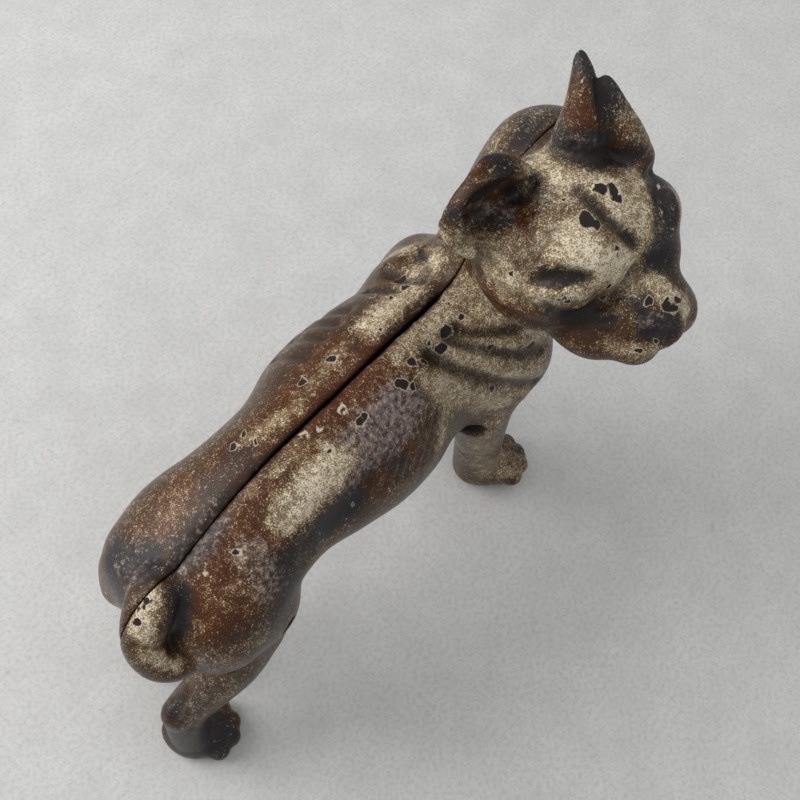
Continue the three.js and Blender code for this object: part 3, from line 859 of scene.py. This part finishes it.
def old_paint():
    made = bpy.data.materials.new("old_paint")
    n = Nodes(made)
    place = n.add("ShaderNodeTexCoord").outputs["Object"]
    place = n.add("ShaderNodeVectorMath", {0: place, 1: (1000, 1000, 1000)}, operation="MULTIPLY").outputs[0]
    tone = n.add("ShaderNodeVertexColor", layer_name="tone")
    dark_wear_and_shade = n.add("ShaderNodeVertexColor", layer_name="dark_wear_and_shade")
    cream, amber, grey = n.add("ShaderNodeSeparateColor", {0: tone.outputs[0]}).outputs[:3]
    dark, chip, rim = n.add("ShaderNodeSeparateColor", {0: dark_wear_and_shade.outputs[0]}).outputs[:3]
    sunk = tone.outputs[1]

    grain = n.noise(place, 1.9, 3, 0.75)
    flake = n.noise(place, 0.5, 4, 0.7)
    mottle = n.noise(place, 0.14, 4, 0.6)
    cloud = n.noise(place, 0.04, 3, 0.55)
    stain = n.noise(place, 0.022, 3, 0.6)

    brown = n.mix(cloud, (0.022, 0.009, 0.004, 1), (0.078, 0.035, 0.014, 1))
    rust = n.mix(mottle, (0.024, 0.006, 0.002, 1), (0.120, 0.034, 0.007, 1))
    rusty = n.broken(n.linear(amber, 1.6, -0.25), (flake, 0.6), (mottle, 1.4), (cloud, 1.2))
    colour = n.mix(n.linear(rusty, 1.5, 0, True), brown, rust)

    # near black: dark paint, and painted shade in the ear cups and creases
    black = n.mix(cloud, (0.010, 0.007, 0.006, 1), (0.034, 0.031, 0.036, 1))
    dark_paint_and_shade = n.broken(n.linear(dark, 1.5, -0.25), (flake, 0.5), (mottle, 0.7), (stain, 1.8))
    dark_paint_and_shade = n.linear(dark_paint_and_shade, 1.6, 0, True)
    colour = n.mix(dark_paint_and_shade, colour, black)

    # grey flakes of lavender paint, and a painted blue-grey sheen
    grey_and_sheen = n.mix(n.linear(flake, 4, -1.5, True), (0.04, 0.026, 0.026, 1), (0.26, 0.20, 0.19, 1))
    grey_and_sheen_share = n.broken(n.linear(grey, 1.5, -0.45), (flake, 2.2), (mottle, 1.2))
    grey_and_sheen_share = n.linear(grey_and_sheen_share, 1.4, 0, True)
    colour = n.mix(grey_and_sheen_share, colour, grey_and_sheen)

    # a thin gold wash, then gold grains, then pale ones: gold paint where it lasted best, and painted
    # highlights on the lit crests, loin and haunch
    gold_and_highlight = n.math("MAXIMUM", cream, n.linear(dark, -0.12, 0.12))
    gold_and_highlight = n.math("SUBTRACT", gold_and_highlight, n.math("MULTIPLY", dark, 0.3))
    # fewer gold grains in the hollows: part of the painted shade there
    gold_and_highlight = n.math("SUBTRACT", gold_and_highlight, n.math("MULTIPLY", sunk, 0.35))
    gold_and_highlight = n.broken(gold_and_highlight, (mottle, 0.9), (cloud, 0.7), (stain, -0.5))
    wash = n.linear(gold_and_highlight, 1.3, -0.3, True)
    grained = n.broken(gold_and_highlight, (grain, 4.8), (flake, 2.4))
    gold = n.linear(grained, 4.6, -1.9, True)
    pale = n.linear(grained, 4.6, -3.75, True)
    colour = n.mix(n.math("MULTIPLY", wash, 0.7), colour, (0.330, 0.235, 0.125, 1))
    colour = n.mix(n.math("MULTIPLY", gold, 0.7), colour, (0.420, 0.300, 0.160, 1))
    colour = n.mix(pale, colour, (0.82, 0.72, 0.55, 1))

    dots = n.add("ShaderNodeTexVoronoi", {"Vector": place, "Scale": 0.42, "Randomness": 1.0})
    small = n.math("LESS_THAN", dots.outputs["Distance"], 0.09)
    pick = n.add("ShaderNodeSeparateColor", {0: dots.outputs["Color"]}).outputs[0]
    some = n.math("GREATER_THAN", pick, 0.68)
    colour = n.mix(n.math("MULTIPLY", small, n.math("MULTIPLY", some, 0.8)), colour, (0.80, 0.74, 0.62, 1))

    bare = n.broken(chip, (flake, 0.45))
    edge = n.math("ABSOLUTE", n.math("SUBTRACT", bare, 0.37))
    scratched = n.linear(n.broken(rim, (flake, 0.8)), 4, -2.4, True)
    line = n.math("MAXIMUM", n.linear(edge, -14, 1, True), scratched)
    colour = n.mix(n.math("MULTIPLY", line, 0.8), colour, (0.70, 0.61, 0.46, 1))
    bare = n.linear(bare, 14, -6.4, True)
    colour = n.mix(bare, colour, (0.020, 0.013, 0.011, 1))
    # the hollows darkened to near black: dirt, and painted shade
    colour = n.mix(n.linear(sunk, 1.0, -0.15, True), colour, (0.014, 0.010, 0.008, 1))

    rough = n.linear(pale, 0.14, 0.28)
    rough = n.math("ADD", rough, n.math("MULTIPLY", grey_and_sheen_share, 0.15))
    height = n.math("ADD", n.math("MULTIPLY", pale, 0.5), n.math("MULTIPLY", grain, 0.7))
    height = n.math("SUBTRACT", height, n.math("MULTIPLY", bare, 1.2))
    bump = n.add("ShaderNodeBump", {"Strength": 0.7, "Distance": 0.00035, "Height": height})
    shader = n.add("ShaderNodeBsdfPrincipled", {
        "Base Color": colour, "Roughness": rough, "Normal": bump.outputs[0],
        "Specular IOR Level": 0.25,
    })
    out = n.add("ShaderNodeOutputMaterial")
    n.tree.links.new(shader.outputs[0], out.inputs[0])
    return made


# ---------------------------------------------------------------- camera and light
azimuth, elevation, roll = map(math.radians, (-63.85, 61.17, -15.1))
LOOK_AT = (36.69, -5.25, 100)
DISTANCE = 0.5706
LENS = 63
SENSOR = 36
aside = math.cos(elevation)
back = Vector((math.sin(azimuth) * aside, -math.cos(azimuth) * aside, math.sin(elevation)))
level = Vector((math.cos(azimuth), math.sin(azimuth), 0))
upward = back.cross(level)
image_x = math.cos(roll) * level - math.sin(roll) * upward
image_y = math.sin(roll) * level + math.cos(roll) * upward
target = (Vector(LOOK_AT) + Vector(ORIGIN)) * 0.001
camera_data = bpy.data.cameras.new("camera")
camera_data.sensor_width = SENSOR
camera_data.lens = LENS
camera_data.clip_start = 0.01
camera = bpy.data.objects.new("camera", camera_data)
camera.matrix_world = Matrix.Translation(target + back * DISTANCE) @ Matrix(
    [(image_x[i], image_y[i], back[i]) for i in range(3)]
).to_4x4()
bpy.context.scene.collection.objects.link(camera)
bpy.context.scene.camera = camera
bpy.context.scene.view_settings.view_transform = "Standard"


def lamp(name, offset, size, watts, colour=(1, 1, 1)):
    data = bpy.data.lights.new(name, "AREA")
    data.shape = "DISK"
    data.size = size
    data.energy = watts
    data.color = colour
    made = bpy.data.objects.new(name, data)
    place = target + offset
    turn = (place - target).to_track_quat("Z", "Y").to_matrix().to_4x4()
    made.matrix_world = Matrix.Translation(place) @ turn
    bpy.context.scene.collection.objects.link(made)
    return made


up = Vector((0, 0, 1))
lamp("window", -image_x * 1.05 + image_y * 0.08 + up * 0.85, 1.0, 13.5, (1, 0.99, 0.97))
world = bpy.data.worlds.new("room")
bpy.context.scene.world = world
world.use_nodes = True
sky = world.node_tree
direction = sky.nodes.new("ShaderNodeTexCoord")
split = sky.nodes.new("ShaderNodeSeparateXYZ")
ramp = sky.nodes.new("ShaderNodeMapRange")
ramp.inputs["From Min"].default_value = 0.0
ramp.inputs["From Max"].default_value = 0.8
ramp.inputs["To Min"].default_value = 0.25
ramp.inputs["To Max"].default_value = 0.96
sky.links.new(direction.outputs["Generated"], split.inputs[0])
sky.links.new(split.outputs[2], ramp.inputs[0])
sky.links.new(ramp.outputs[0], sky.nodes["Background"].inputs[1])
sky.nodes["Background"].inputs[0].default_value = (0.76, 0.77, 0.78, 1)


# ---------------------------------------------------------------- pieces
paint = old_paint()
halves, smooth_clay = castings()
for side, (vertices, quads, sunk) in halves.items():
    made = mesh_object(side + "_half", vertices, quads, paint)
    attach(made, side + "_half")
    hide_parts(side + "_half_casting")
    paint_marks(made, smooth_clay, vertices, sunk, side == "left")
for name, (x, z, seat) in SCREWS.items():
    made = screw(name + "_piece", x, z, seat)
    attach(made, {"front_screw": "screw_front", "rear_screw": "screw_rear"}[name])
    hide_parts(name)

# ---------------------------------------------------------------- floor
bpy.ops.mesh.primitive_plane_add(size=6, location=(0, 0, -0.0005))
floor = bpy.context.object
floor.name = "floor"
plaster = bpy.data.materials.new("plaster")
n = Nodes(plaster)
place = n.add("ShaderNodeTexCoord").outputs["Object"]
broad = n.noise(place, 4, 4, 0.6)
cloudy = n.noise(place, 45, 3, 0.6)
sandy = n.noise(place, 480, 3, 0.75)
colour = n.mix(broad, (0.50, 0.495, 0.485, 1), (0.66, 0.655, 0.645, 1))
pits = n.noise(place, 90, 5, 0.75)
pit = n.math("LESS_THAN", pits, 0.335)
colour = n.mix(n.math("MULTIPLY", pit, 0.35), colour, (0.34, 0.34, 0.33, 1))
colour = n.mix(n.linear(cloudy, 1.5, -0.55, True), colour, (0.70, 0.695, 0.68, 1))
colour = n.mix(n.linear(sandy, 2.2, -0.95, True), colour, (0.42, 0.42, 0.41, 1))
bump = n.add("ShaderNodeBump", {"Strength": 0.2, "Distance": 0.0006, "Height": sandy})
shader = n.add("ShaderNodeBsdfPrincipled", {
    "Base Color": colour, "Roughness": 0.88, "Normal": bump.outputs[0],
})
out = n.add("ShaderNodeOutputMaterial")
n.tree.links.new(shader.outputs[0], out.inputs[0])
floor.data.materials.append(plaster)
